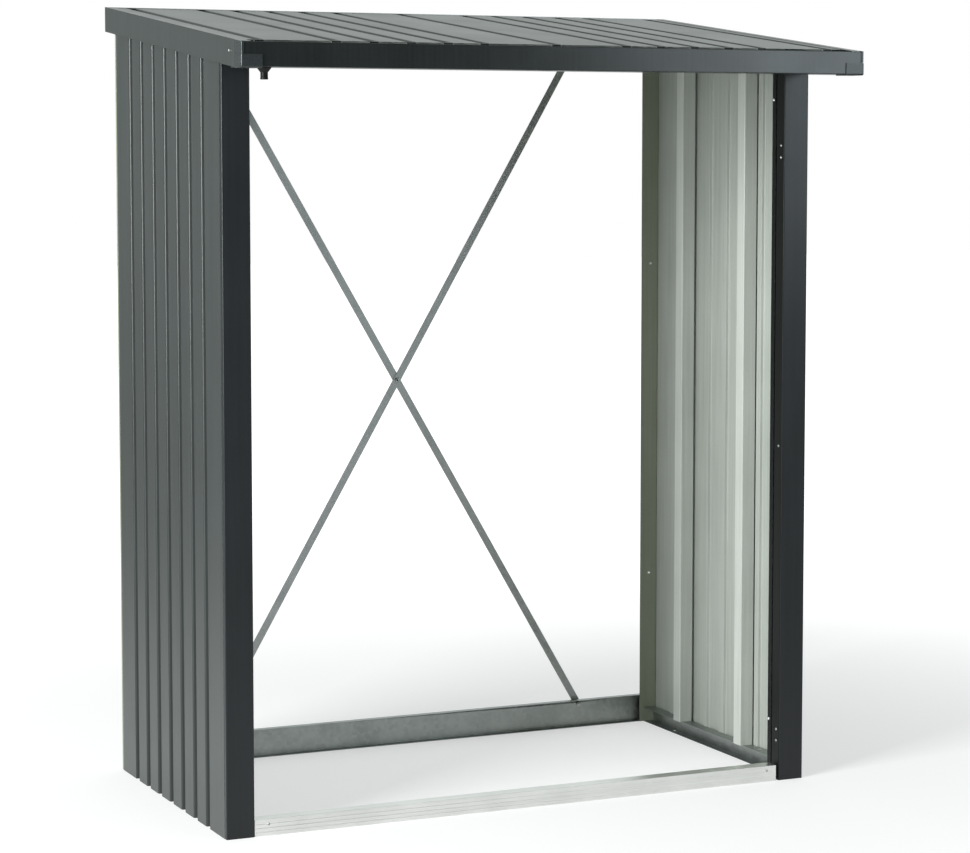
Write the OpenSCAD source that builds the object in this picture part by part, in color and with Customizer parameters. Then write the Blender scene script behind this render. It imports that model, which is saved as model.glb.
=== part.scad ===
// Open-fronted log store of folded sheet steel.
// The origin is on the ground, in the middle of the four posts. +Z is up, +X is to the right
// and the open front faces -Y. The roof falls towards the front, into a gutter.

/* [Overall] */
// Width over the outer faces of the two side walls
body_w = 1552; // [1200:1:2000]
// Depth over the front and back faces of the posts
body_d = 816; // [650:1:1000]
// Height of the roof's upper edge, at the back
rear_h = 1960; // [1600:1:2400]
// Drop of the roof's top edge from back to front
roof_fall = 121; // [80:1:180]

/* [Roof and gutter] */
// Overhang of the roof past each side wall
roof_side = 24; // [15:1:50]
// Overhang of the gutter in front of the front posts
roof_front = 212; // [150:1:300]
// Overhang of the roof behind the back posts
roof_back = 2; // [2:1:20]
// Height of the verge and back fascias
verge_h = 62; // [55:1:75]
// Width of the verge trim's top flange
verge_flange = 25; // [15:1:35]
// Height of the gutter's front wall
gutter_h = 56; // [45:1:65]
// Width of the gutter from front to back
gutter_w = 76; // [70:1:100]
// Distance of the roof sheets' front ends behind the gutter's front wall
sheet_setback = 60; // [40:1:65]
// Height of the two caps on the gutter's lower corners
cap_h = 30; // [20:1:40]
// Length of each cap along the gutter's front
cap_w = 48; // [30:1:70]
// Depth of each cap along the side of the roof
cap_d = 46; // [30:1:65]
// Wall of the moulded caps
cap_t = 2.5; // [1.5:0.1:3]

/* [Profiled sheets] */
// Thickness of the wall and roof sheets
sheet_t = 0.8; // [0.5:0.1:1]
// Distance between the pressed grooves
groove_pitch = 92; // [75:0.5:110]
// Width of a groove at its mouth
groove_w = 25; // [18:1:28]
// Depth of a groove
groove_d = 8; // [5:0.5:9]
// Least plain margin between a side wall's edge and its first groove
wall_margin = 120; // [80:1:180]
// Least plain margin between the roof's side and its first groove
roof_margin = 50; // [45:1:90]
// Distance of a side wall's front and back edges from the faces of the posts
wall_setback = 12; // [2:1:20]

/* [Posts and rails] */
// Width of a front post, seen from the front, with the wall sheet
post_w = 70; // [50:1:90]
// Depth of a front post, from front to back
post_d = 60; // [50:1:80]
// Width of the front lip on a front post's slotted side
outer_lip = 36; // [20:1:38]
// Width of the slot between the two lips
post_slot = 6; // [3:1:8]
// Width of a back post, seen from the front, with the wall sheet
rear_post_w = 52.5; // [46:0.5:70]
// Depth of a back post, from front to back
rear_post_d = 22; // [21:1:40]
// Thickness of the posts
post_t = 1.5; // [1:0.1:2]
// Height of the front top rail
front_rail_h = 50; // [40:1:55]
// Height of the back rail at the floor
back_rail_h = 75; // [60:1:90]
// Height of the side rails at floor and roof
side_rail_h = 40; // [30:1:50]
// Width of the rails' flanges
rail_flange = 32; // [25:1:38]
// Thickness of the rails and stiffeners
rail_t = 1.2; // [0.8:0.1:1.5]
// Width of a wall stiffener
stiffener_w = 37; // [33:1:42]
// Distance of a stiffener's face from the wall sheet
stiffener_d = 46; // [25:1:50]
// Width of a stiffener's foot
stiffener_foot = 18; // [10:1:20]
// Distance of a stiffener's free front edge from the wall sheet
stiffener_free = 9; // [1:0.5:12]

/* [Front sill] */
// Height of the front sill
sill_h = 40; // [30:1:60]
// Depth of the front sill, from front to back
sill_d = 38; // [30:1:50]
// Play of the sill between the front posts, all of it at the right end
sill_play = 8; // [2:1:12]
// Wall of the hollow sill
sill_t = 2; // [1.5:0.1:3]
// Distance between the fine grooves on the sill's face
sill_rib_pitch = 9.6; // [8:0.1:12]

/* [Back brace] */
// Width of the two brace straps
strap_w = 20; // [15:1:30]
// Thickness of the straps
strap_t = 1.5; // [1:0.1:2]
// Distance from the middle to the bolts at the straps' lower ends
strap_low_x = 544; // [400:1:620]
// Distance from the middle to the bolts at the straps' upper ends
strap_high_x = 530; // [400:1:620]
// Distance from the edge of a back rail to the strap's bolt
strap_edge = 14; // [12:1:25]
// Sideways shift of the whole brace from the middle
strap_shift = -3; // [-15:1:15]
// Bolt hole in the straps
strap_bore = 6.5; // [5:0.1:9]

/* [Outlet and anchors] */
// Outer width of the outlet's spigot
spigot_dia = 18; // [14:1:24]
// Length of the spigot
spigot_len = 17; // [10:1:30]
// Bore of the outlet
outlet_bore = 14; // [10:1:20]
// Width of the outlet's cone at the gutter
cone_dia = 33; // [28:1:40]
// Height of the cone
cone_h = 10; // [6:1:15]
// Width of the outlet's neck through the gutter's floor
neck_dia = 24; // [18:1:26]
// Clearance of the neck in the gutter's floor
neck_clearance = 0.3; // [0.2:0.1:1]
// Gap between the left cap and the outlet's cone
outlet_gap = 1.5; // [1:0.5:100]
// Holes in the floor rails for the ground anchors
anchor_bore = 9; // [7:0.5:12]
// Distance of the anchor holes from the middle, front to back
anchor_y = 230; // [215:1:250]

/* [Hidden] */

seat = 0.3;             // running gap where a sloped piece lies on a level one
trim_t = 1;             // sheet of the verge trims, the back fascia and the gutter
groove_run = 2.5;       // slope of a groove's side, measured across the sheet
seam_play = 1;          // room for a sheet's edge in the other sheet's groove
return_w = 10;          // folded return along the lower edge of a fascia
rear_flange = 15;       // top flange of the back fascia
rib_w = 1.6;            // fine groove on the sill
rib_d = 0.8;
smooth = 48;            // facets of a full round

half_w = body_w / 2;
half_d = body_d / 2;
roof_half = half_w + roof_side;
roof_y0 = -half_d - roof_front;
roof_y1 = half_d + roof_back;
front_h = rear_h - roof_fall;
fall = roof_fall / (roof_y1 - roof_y0);
roof_angle = atan(fall);

// Height of the roof's top edge above a point y of the ground
function roof_z(y) = front_h + (y - roof_y0) * fall;

// Below the roof line: the sheet's top, and the level at which the frame carries its grooves
sheet_drop = trim_t / cos(roof_angle);
frame_drop = sheet_drop + (groove_d + sheet_t) / cos(roof_angle) + seat;

post_x = half_w - sheet_t;             // outer faces of the posts
post_in = half_w - post_w;             // their inner faces
ridge_in = groove_d + sheet_t;         // how far a wall's groove reaches inwards
rail_x = half_w - ridge_in;            // outer faces of the side rails
front_top = roof_z(-half_d) - frame_drop;
rear_top = roof_z(half_d - rear_post_d) - frame_drop;

gutter_z = front_h - gutter_h;
sheet_y0 = roof_y0 + sheet_setback;
outlet_x = -roof_half + cap_w + outlet_gap + cone_dia / 2;
outlet_y = roof_y0 + gutter_w / 2;

// Side wall grooves lie either side of one in the middle
wall_each_side = floor((half_d - wall_margin) / groove_pitch);
wall_grooves = [for (i = [-wall_each_side : wall_each_side]) i * groove_pitch];

// Each roof sheet has a groove at both edges, and a plain bay beside each of these two
roof_bays = floor((roof_half - roof_margin) / groove_pitch);
function sheet_groove(i) = i == 0 || i == roof_bays || (i > 1 && i < roof_bays - 1);
roof_grooves = [for (i = [1 : roof_bays]) if (sheet_groove(i)) i * groove_pitch];

// Stiffeners stand beside or astride the second groove from the middle
stiffener_gap = 1;
stiffener_front_y = -2 * groove_pitch + groove_w / 2 + sheet_t + stiffener_gap;
stiffener_rear_y = 2 * groove_pitch + groove_w / 2 + sheet_t + stiffener_gap + rail_t
                   - stiffener_w;

// The straps end below the back fascia, and the top rail reaches down behind their bolts
strap_gap = 2;
strap_low_z = back_rail_h - strap_edge;
strap_high_z = rear_h - verge_h - strap_gap - strap_w / 2;
rear_rail_low = strap_high_z - strap_edge;
strap_rise = strap_high_z - strap_low_z;
strap_reach = strap_low_x + strap_high_x;
strap_len = norm([strap_reach, strap_rise]);
strap_angle = atan2(strap_rise, strap_reach);
// Place along a strap, from its middle, where the other one crosses it
strap_cross = strap_len * (strap_low_x - strap_high_x) / (2 * strap_reach);

// Unit vector from a to b, and the normal on the left of a vector
function towards(a, b) = (b - a) / norm(b - a);
function left_of(u) = [-u.y, u.x];

// Corner i of a line, moved by t to the left of the line
function moved(line, i, t) =
    let (last = len(line) - 1,
         before = towards(line[max(i - 1, 0)], line[max(i, 1)]),
         after = towards(line[min(i, last - 1)], line[min(i + 1, last)]),
         m = left_of(before) + left_of(after))
    line[i] + m * (2 * t / (m * m));

// Section of a sheet of thickness t folded along a line, which is its right-hand face
module folded(line, t) {
    polygon(concat(line, [for (i = [len(line) - 1 : -1 : 0]) moved(line, i, t)]));
}

// Points of a line with grooves pressed to its left, from start to end along +X
function groove_points(c) = [[c - groove_w / 2, 0], [c - groove_w / 2 + groove_run, groove_d],
                             [c + groove_w / 2 - groove_run, groove_d], [c + groove_w / 2, 0]];
function grooved_line(start, end, centres) =
    concat([[start, 0]], [for (c = centres) for (p = groove_points(c)) p], [[end, 0]]);

// An outline drawn in Y and Z, made solid from x0 to x1
module across(x0, x1) {
    translate([x0, 0, 0]) rotate([90, 0, 90]) linear_extrude(x1 - x0) children();
}

// An outline drawn in X and Z, made solid from y0 to y1
module along_y(y0, y1) {
    translate([0, y1, 0]) rotate([90, 0, 0]) linear_extrude(y1 - y0) children();
}

module on_side(side) {
    if (side < 0) mirror([1, 0, 0]) children();
    else children();
}

// Front post: a channel whose inner side has two lips with a slot between them
module front_post(side) {
    lip_y = -half_d + outer_lip;
    back_y = -half_d + post_d;
    color("#3a3f40") on_side(side) linear_extrude(front_top)
        folded([[post_in, lip_y], [post_in, -half_d], [post_x, -half_d],
                [post_x, back_y], [post_in, back_y], [post_in, lip_y + post_slot]], post_t);
}

// Back post: an angle with one leg along the wall and one across, in front of the back rails
module rear_post(side) {
    front_y = half_d - rear_post_d;
    color("#565d50") on_side(side) linear_extrude(rear_top)
        folded([[half_w - rear_post_w, front_y], [post_x, front_y], [post_x, half_d]], post_t);
}

// Level channel from -x to x. Its web is at y, and its two flanges run from there to y = tip.
module level_rail(x, y, tip, z0, z1) {
    line = [[tip, z0], [y, z0], [y, z1], [tip, z1]];
    across(-x, x) folded(tip > y ? [for (i = [3 : -1 : 0]) line[i]] : line, rail_t);
}

module front_top_rail() {
    color("#4a5052")
        level_rail(post_in, -half_d, -half_d + rail_flange, front_top - front_rail_h, front_top);
}

// Rail across the back, behind the back posts
module back_rail(z0, z1) {
    level_rail(post_x - post_t - seat, half_d, half_d - rear_post_d + post_t, z0, z1);
}

// Bolt holes for the ends of the straps, through a back rail's web
module strap_holes(bolt_x, z) {
    for (x = [-bolt_x, bolt_x])
        translate([x + strap_shift, half_d + 1, z]) rotate([90, 0, 0])
            cylinder(h = rail_t + 2, d = strap_bore, $fn = smooth);
}

module rear_top_rail() {
    color("#4a5052") difference() {
        back_rail(rear_rail_low, rear_top);
        strap_holes(strap_high_x, strap_high_z);
    }
}

module rear_floor_rail() {
    color("#9aa09c") difference() {
        back_rail(0, back_rail_h);
        strap_holes(strap_low_x, strap_low_z);
    }
}

// Channel under the roof's side edge, folded to the roof's slope
module side_top_rail(side) {
    y0 = -half_d + post_d;
    y1 = half_d - rear_post_d;
    tip = rail_x - rail_flange;
    color("#4a5052") on_side(side) intersection() {
        across(tip, rail_x)
            polygon([for (p = [[y0, 0], [y1, 0], [y1, -side_rail_h], [y0, -side_rail_h]])
                     [p.x, roof_z(p.x) - frame_drop + p.y]]);
        union() {
            across(rail_x - rail_t, rail_x) square_between(y0, y1);
            across(tip, rail_x) sloped_strip(y0, y1, frame_drop, rail_t);
            across(tip, rail_x) sloped_strip(y0, y1, frame_drop + side_rail_h - rail_t, rail_t);
        }
    }
}

// Helpers for outlines in Y and Z: a tall block, and a strip that lies below the roof line
module square_between(y0, y1) {
    translate([y0, 0]) square([y1 - y0, rear_h]);
}

module sloped_strip(y0, y1, drop, t) {
    polygon([[y0, roof_z(y0) - drop], [y1, roof_z(y1) - drop],
             [y1, roof_z(y1) - drop - t], [y0, roof_z(y0) - drop - t]]);
}

// Channel on the ground beside a side wall, with two anchor holes in its lower flange
module side_floor_rail(side) {
    tip = rail_x - rail_flange;
    color("#9aa09c") on_side(side) difference() {
        along_y(-half_d + post_d, half_d - rear_post_d)
            folded([[tip, 0], [rail_x, 0], [rail_x, side_rail_h], [tip, side_rail_h]], rail_t);
        for (y = [-anchor_y, anchor_y])
            translate([rail_x - rail_flange / 2, y, -1])
                cylinder(h = rail_t + 2, d = anchor_bore, $fn = smooth);
        for (y = [-anchor_y, anchor_y])
            translate([rail_x - rail_flange / 2, y, side_rail_h - rail_t - 1])
                cylinder(h = rail_t + 2, d = 2 * anchor_bore, $fn = smooth);
    }
}

// Hollow aluminium sill with fine grooves along its face
module front_sill() {
    rib_count = floor((sill_h - 2 * sill_t) / sill_rib_pitch);
    first_rib = (sill_h - (rib_count - 1) * sill_rib_pitch) / 2;
    color("#d1d1cf") across(-post_in, post_in - sill_play) difference() {
        translate([-half_d, 0]) square([sill_d, sill_h]);
        translate([-half_d + sill_t, sill_t])
            square([sill_d - 2 * sill_t, sill_h - 2 * sill_t]);
        for (i = [0 : rib_count - 1])
            translate([-half_d, first_rib + i * sill_rib_pitch])
                square([2 * rib_d, rib_w], center = true);
    }
}

// Side wall: one grooved sheet lapped over the posts, cut to the roof's slope at the top
module side_wall(side) {
    edge = half_d - wall_setback;
    top_drop = sheet_drop + sheet_t / cos(roof_angle) + seat;
    color("#606668") on_side(side) intersection() {
        linear_extrude(rear_h) translate([half_w, 0]) rotate(90)
            folded(grooved_line(-edge, edge, wall_grooves), sheet_t);
        across(half_w - ridge_in - 1, half_w + 1)
            polygon([[-half_d, 0], [half_d, 0], [half_d, roof_z(half_d) - top_drop],
                     [-half_d, roof_z(-half_d) - top_drop]]);
    }
}

// Upright stiffener on the inside of a wall, between the floor rail and the roof rail
module stiffener(side, y) {
    x = half_w - sheet_t;
    far = y + stiffener_w;
    z1 = roof_z(y) - frame_drop - side_rail_h;
    color("#a8aea5") on_side(side)
        translate([0, 0, side_rail_h]) linear_extrude(z1 - side_rail_h)
            folded([[x - stiffener_free, y], [x - stiffener_d, y], [x - stiffener_d, far],
                    [x - rail_t, far], [x - rail_t, far + stiffener_foot]], -rail_t);
}

// One roof sheet. In the groove at the middle of the roof the right sheet lies on the left one.
module roof_sheet(side) {
    back_gap = trim_t + (groove_d + sheet_t) * sin(roof_angle) + seat;
    run = (roof_y1 - sheet_y0) / cos(roof_angle) - back_gap;
    color("#9ea39f") translate([0, roof_y1, roof_z(roof_y1) - sheet_drop])
        rotate([roof_angle, 0, 0]) translate([0, -back_gap, 0]) rotate([90, 0, 0])
            on_side(side) linear_extrude(run)
                folded(roof_line(side < 0 ? groove_d : groove_d - sheet_t), -sheet_t);
}

// Section of a roof sheet from the seam groove outwards, where its edge lies at depth seam_d
function roof_line(seam_d) =
    concat([[seam_play + groove_run - groove_w / 2, -seam_d],
            [groove_w / 2 - groove_run, -seam_d], [groove_w / 2, 0]],
           [for (c = roof_grooves) for (p = groove_points(c)) [p.x, -p.y]],
           [[roof_half - trim_t - seat, 0]]);

// Verge trim: upright face, top flange and a folded return along the lower edge
module verge_trim(side) {
    face = [[roof_y0, front_h], [roof_y0, gutter_z],
            [roof_y0 + (verge_h - gutter_h) / fall, gutter_z],
            [roof_y1, rear_h - verge_h], [roof_y1, rear_h]];
    color("#616967") on_side(side) union() {
        across(roof_half - trim_t, roof_half) polygon(face);
        across(roof_half - verge_flange, roof_half)
            sloped_strip(roof_y0 + return_w + seat, roof_y1 - trim_t, 0, trim_t);
        across(roof_half - return_w, roof_half)
            sloped_strip(roof_y0 + gutter_w + seat, roof_y1 - trim_t, verge_h - trim_t, trim_t);
    }
}

// Fascia across the back, with a top flange over the roof sheets' ends
module rear_fascia() {
    face_half = roof_half - trim_t;
    flange_half = roof_half - verge_flange;
    color("#5e6463") union() {
        translate([-face_half, roof_y1 - trim_t, rear_h - verge_h])
            cube([2 * face_half, trim_t, verge_h - trim_t]);
        across(-flange_half, flange_half)
            sloped_strip(roof_y1 - rear_flange, roof_y1, 0, trim_t);
    }
}

// Gutter: its front wall is the front fascia, and its back wall carries the roof sheets
module gutter() {
    back_y = roof_y0 + gutter_w;
    seat_z = roof_z(back_y) - frame_drop;
    color("#3f4444") difference() {
        across(-roof_half + trim_t, roof_half - trim_t)
            folded([[roof_y0 + return_w, front_h], [roof_y0, front_h], [roof_y0, gutter_z],
                    [back_y, gutter_z], [back_y, seat_z]], trim_t);
        translate([outlet_x, outlet_y, gutter_z - 1])
            cylinder(h = trim_t + 2, d = neck_dia + 2 * neck_clearance, $fn = smooth);
    }
}

// Moulded cap over a lower front corner of the roof
module gutter_cap(side) {
    x1 = roof_half + cap_t;
    y0 = roof_y0 - cap_t;
    z0 = gutter_z - cap_t;
    color("#2b2e2c") on_side(side) difference() {
        translate([roof_half - cap_w, y0, z0]) cube([cap_w + cap_t, cap_d + cap_t, cap_h]);
        translate([roof_half - cap_w - 1, roof_y0, gutter_z])
            cube([cap_w + 1, cap_d + 1, cap_h]);
    }
}

// Outlet: a flange in the gutter, a neck through its floor, a cone and a spigot
module gutter_outlet() {
    cone_z = -cone_h;
    end_z = cone_z - spigot_len;
    color("#1c1e1e") translate([outlet_x, outlet_y, gutter_z]) difference() {
        union() {
            translate([0, 0, trim_t]) cylinder(h = cap_t, d = cone_dia, $fn = smooth);
            cylinder(h = trim_t, d = neck_dia, $fn = smooth);
            translate([0, 0, cone_z])
                cylinder(h = cone_h, d1 = spigot_dia, d2 = cone_dia, $fn = smooth);
            translate([0, 0, end_z]) cylinder(h = spigot_len, d = spigot_dia, $fn = smooth);
        }
        translate([0, 0, end_z - 1])
            cylinder(h = spigot_len + cone_h + trim_t + cap_t + 2, d = outlet_bore, $fn = smooth);
    }
}

// Round-ended strap that rises to the right, at the given layer on the back rails
module strap(layer) {
    color("#8d9390")
        translate([(strap_high_x - strap_low_x) / 2, half_d + (layer + 1) * strap_t,
                   (strap_low_z + strap_high_z) / 2])
            rotate([0, -strap_angle, 0]) rotate([90, 0, 0]) linear_extrude(strap_t)
            difference() {
                hull() for (x = [-strap_len / 2, strap_len / 2])
                    translate([x, 0]) circle(d = strap_w, $fn = smooth);
                for (x = [-strap_len / 2, strap_cross, strap_len / 2])
                    translate([x, 0]) circle(d = strap_bore, $fn = smooth);
            }
}

module brace_strap_rising() {
    translate([strap_shift, 0, 0]) strap(0);
}

module brace_strap_falling() {
    translate([strap_shift, 0, 0]) mirror([1, 0, 0]) strap(1);
}

front_post(-1);  // front_post_left
front_post(1);  // front_post_right
rear_post(-1);  // rear_post_left
rear_post(1);  // rear_post_right
front_top_rail();
rear_top_rail();
side_top_rail(-1);  // side_top_rail_left
side_top_rail(1);  // side_top_rail_right
front_sill();
rear_floor_rail();
side_floor_rail(-1);  // side_floor_rail_left
side_floor_rail(1);  // side_floor_rail_right
side_wall(-1);  // side_wall_left
side_wall(1);  // side_wall_right
stiffener(-1, stiffener_front_y);  // stiffener_left_front
stiffener(-1, stiffener_rear_y);  // stiffener_left_rear
stiffener(1, stiffener_front_y);  // stiffener_right_front
stiffener(1, stiffener_rear_y);  // stiffener_right_rear
roof_sheet(-1);  // roof_sheet_left
roof_sheet(1);  // roof_sheet_right
verge_trim(-1);  // verge_trim_left
verge_trim(1);  // verge_trim_right
rear_fascia();
gutter();
gutter_cap(-1);  // gutter_cap_left
gutter_cap(1);  // gutter_cap_right
gutter_outlet();
brace_strap_falling();
brace_strap_rising();
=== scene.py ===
# %% [markdown]
# # An open log store of folded sheet steel
# The store is bent, rolled and pressed from thin coated sheet: four posts, two grooved walls, a
# grooved roof and a gutter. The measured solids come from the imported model, in metres, with +Z up
# and the open front towards -Y. The solids have sharp folds and one thickness of sheet, so the
# steps below give each one the bend radii, the coats and the fixings of the real thing.

# %% Load the fixed frame
import math
import bmesh
import bpy
from mathutils import Matrix, Vector


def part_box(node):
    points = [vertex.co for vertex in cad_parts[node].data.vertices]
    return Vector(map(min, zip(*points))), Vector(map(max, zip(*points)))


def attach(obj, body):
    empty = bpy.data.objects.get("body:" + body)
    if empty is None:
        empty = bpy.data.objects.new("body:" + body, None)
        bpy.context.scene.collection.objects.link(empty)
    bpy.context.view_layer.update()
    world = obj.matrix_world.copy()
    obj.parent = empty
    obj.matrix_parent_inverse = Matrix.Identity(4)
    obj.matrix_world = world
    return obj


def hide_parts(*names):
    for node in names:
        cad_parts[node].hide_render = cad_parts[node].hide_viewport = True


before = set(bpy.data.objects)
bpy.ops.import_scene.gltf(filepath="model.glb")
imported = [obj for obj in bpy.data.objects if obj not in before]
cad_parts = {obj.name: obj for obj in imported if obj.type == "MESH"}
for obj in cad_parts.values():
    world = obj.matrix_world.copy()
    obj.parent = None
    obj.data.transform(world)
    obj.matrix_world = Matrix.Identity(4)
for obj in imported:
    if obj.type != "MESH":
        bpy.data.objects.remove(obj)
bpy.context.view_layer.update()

# %% [markdown]
# ## Where things are
# Positions are read from the solids and never typed in twice. The side walls give the width, the
# posts give the front and back planes, and the roof pieces give the slope and the gutter. Each
# kind of section is bent from its own thickness of sheet.

# %% Read the main planes
MM = 0.001
SHEET = 0.8 * MM
POST_SHEET = 1.5 * MM
RAIL_SHEET = 1.2 * MM
TRIM_SHEET = 1.0 * MM

post_low, post_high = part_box("front_post_right")
rear_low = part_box("rear_post_right")[0]
sill_low, sill_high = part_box("front_sill")
gutter_low, gutter_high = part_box("gutter")
verge_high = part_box("verge_trim_right")[1]
wall_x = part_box("side_wall_right")[1].x

front_y = post_low.y
roof_x = verge_high.x
roof_slope = (verge_high.z - gutter_high.z) / (verge_high.y - gutter_low.y)
print("walls at x", round(wall_x, 4), "front at y", round(front_y, 4))
print("roof's fall", round(math.degrees(math.atan(roof_slope)), 2), "degrees")

# %% [markdown]
# ## Helpers for materials
# A colour is written as the sRGB hex value that a paint chart gives, and shaders want linear
# light, so one function turns it. Another adds a node together with its settings and its links,
# which keeps each finish below short enough to read as a recipe.

# %% Colour and node helpers
def linear(hex_colour):
    """The linear RGBA colour of an sRGB value such as "#33383a"."""
    parts = [int(hex_colour[i:i + 2], 16) / 255 for i in (1, 3, 5)]
    return [v / 12.92 if v <= 0.04045 else ((v + 0.055) / 1.055) ** 2.4 for v in parts] + [1.0]


def add_node(tree, kind, settings=(), links=()):
    """Adds a shader node. A setting is a property or a socket, and a link's source is a socket."""
    node = tree.nodes.new("ShaderNode" + kind)
    for key, value in dict(settings).items():
        if isinstance(key, str) and hasattr(node, key):
            setattr(node, key, value)
        else:
            node.inputs[key].default_value = value
    for key, source in dict(links).items():
        tree.links.new(source, node.inputs[key])
    return node


def per_metre(millimetres):
    """The scale at which a pattern repeats about once in that many millimetres."""
    return 1000 / millimetres


def new_material(name):
    """An empty node material, its tree and the coordinates of the object itself."""
    material = bpy.data.materials.new(name)
    material.use_nodes = True
    tree = material.node_tree
    tree.nodes.clear()
    return material, tree, add_node(tree, "TexCoord").outputs["Object"]


print("hex check", [round(v, 3) for v in linear("#808080")])

# %% [markdown]
# ## Coil-coated steel
# The walls, roof, posts and trims are galvanised coil that is coated in the mill with a polyester
# paint. It is rolled on, so it is very even: a faint cloudiness as wide as a hand, a slight
# streak along the coil, metal flake in the paint and a fine orange peel that softens reflections.
# One flat colour would look like plastic, so noise and cells mix two close tones. The flake is
# finer than a tenth of a millimetre, and it is drawn at 2 mm so that it shows at all.

# %% Coated steel
CLOUD_MM, FLAKE_MM, PEEL_MM = 160, 2, 1.6
UP_STRETCH = 0.02  # streaks are fifty times as long as they are wide


def coated_steel(name, colour, flake_colour, roughness, specular=0.5, streak_mm=9):
    """Mill-coated sheet: two close tones, clouded and streaked, under a fine orange peel."""
    material, tree, place = new_material(name)
    along = add_node(tree, "Mapping", {"Scale": (1, 1, UP_STRETCH)}, {"Vector": place}).outputs[0]
    cloud = add_node(tree, "TexNoise", {"Scale": per_metre(CLOUD_MM), "Detail": 3.0},
                     {"Vector": place})
    streak = add_node(tree, "TexNoise", {"Scale": per_metre(streak_mm), "Detail": 2.0},
                      {"Vector": along})
    flake = add_node(tree, "TexVoronoi", {"Scale": per_metre(FLAKE_MM)}, {"Vector": place})
    both = add_node(tree, "Math", {"operation": "MULTIPLY_ADD", 1: 0.55},
                    {0: cloud.outputs["Fac"], 2: streak.outputs["Fac"]})
    glint = add_node(tree, "Math", {"operation": "MULTIPLY_ADD", 1: -0.22},
                     {0: flake.outputs["Distance"], 2: both.outputs[0]})
    tone = add_node(tree, "MapRange", {"From Min": 0.35, "From Max": 1.05},
                    {"Value": glint.outputs[0]})
    paint = add_node(tree, "Mix", {"data_type": "RGBA", 6: linear(colour), 7: linear(flake_colour)},
                     {0: tone.outputs[0]})
    gloss = add_node(tree, "MapRange", {"To Min": roughness - 0.05, "To Max": roughness + 0.07},
                     {"Value": cloud.outputs["Fac"]})
    peel = add_node(tree, "TexNoise", {"Scale": per_metre(PEEL_MM), "Detail": 1.0},
                    {"Vector": place})
    skin = add_node(tree, "Bump", {"Strength": 0.25, "Distance": 0.03 * MM},
                    {"Height": peel.outputs["Fac"]})
    shader = add_node(tree, "BsdfPrincipled", {"Specular IOR Level": specular, "IOR": 1.5},
                      {"Base Color": paint.outputs[2], "Roughness": gloss.outputs[0],
                       "Normal": skin.outputs[0]})
    add_node(tree, "OutputMaterial", {}, {"Surface": shader.outputs[0]})
    return material


# Anthracite polyester with flake, which mirrors a pale sky at low angles. The posts' copy is darker
# than the walls': painted shade on the front faces.
post_coat_painted_shade = coated_steel("anthracite_post_coat_painted_shade", "#181b1d", "#1f2225", 0.3, specular=0.34)
# The gutter and the back fascia have a glossier coat, so one softbox grades their whole length.
# Their copy of the paint is darker: painted shade on the front faces.
trim_coat_painted_shade = coated_steel("anthracite_trim_coat_painted_shade", "#171b1b", "#202424", 0.2, specular=0.36)
# A front post's slotted side gets a flat, nearly black coat: painted shade of the post's inside.
lip_coat_painted_shade = coated_steel("near_black_lip_coat_painted_shade", "#0b0d0d", "#111313", 0.4, specular=0.16)
# The walls and roof have lighter copies of the same paint: painted light where the key lamp falls
# on the walls, and a painted reflection of the pale sky on the roof.
wall_coat_painted_light = coated_steel("metallic_grey_wall_coat_painted_light", "#2b302f", "#353a39", 0.3, specular=0.36,
                         streak_mm=14)
roof_coat_painted_light = coated_steel("metallic_grey_roof_coat_painted_light", "#333935", "#3f4541", 0.34, streak_mm=14)
# The back of the coil has a thin pale primer, greenish grey and flatter than the face.
back_coat = coated_steel("grey_green_back_coat", "#9a9f98", "#adb1ab", 0.38, streak_mm=7)
# The stiffeners have a lighter copy of the same primer: painted light on their crowns.
stiffener_coat_painted_light = coated_steel("light_grey_stiffener_coat_painted_light", "#b2b6b0", "#c3c7c1", 0.36, streak_mm=7)
# The back posts have a darker, olive-tinged copy of the same primer: painted shade of the store's
# back corners.
rear_coat_painted_shade = coated_steel("olive_grey_rear_coat_painted_shade", "#828776", "#8e9383", 0.44, streak_mm=7)
print("coats:", [m.name for m in (post_coat_painted_shade, lip_coat_painted_shade, trim_coat_painted_shade, wall_coat_painted_light, roof_coat_painted_light, back_coat,
                                stiffener_coat_painted_light, rear_coat_painted_shade)])

# %% [markdown]
# ## Bare metals
# Hot-dip zinc freezes in crystals, the spangle, and each crystal tilts its own way, so patches
# about a centimetre wide are a little lighter or duller. Cells whose borders are bent by a noise
# give that. A cut edge of coated coil shows a line of bright steel and zinc.

# %% Galvanised steel
BORDER_WAVE_MM, BLOOM_MM = 22, 90
BORDER_BEND = 6 * MM


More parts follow.
